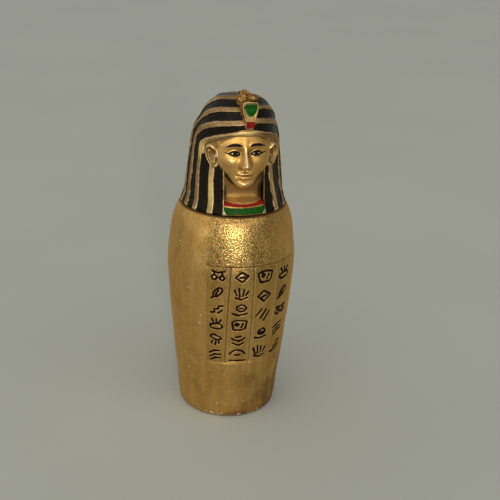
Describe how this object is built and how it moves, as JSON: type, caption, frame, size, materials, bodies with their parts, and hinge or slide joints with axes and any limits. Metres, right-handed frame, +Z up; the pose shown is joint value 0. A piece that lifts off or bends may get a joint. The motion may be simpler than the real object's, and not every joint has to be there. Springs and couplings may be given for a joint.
{
  "type": "canopic jar",
  "caption": "Small painted resin canopic jar, hollow, with a lift-off lid shaped as a head in a striped headcloth; stands on its flat underside as an ornament.",
  "frame": {"origin": "centre of the flat underside of the jar, on the surface it stands on", "axes": "+Z up along the jar's axis; the face on the lid looks along -Y, +X is on the viewer's right"},
  "size_m": [0.0378, 0.0376, 0.1],
  "materials": {
    "jar_paint": "metallic gold paint on cast resin, satin, with dark brown signs",
    "head_paint": "metallic gold paint on cast resin with glossy black stripes, red and green bands"
  },
  "bodies": {
    "root": {"jar": "jar_paint", "head_lid": "head_paint"}
  },
  "joints": []
}
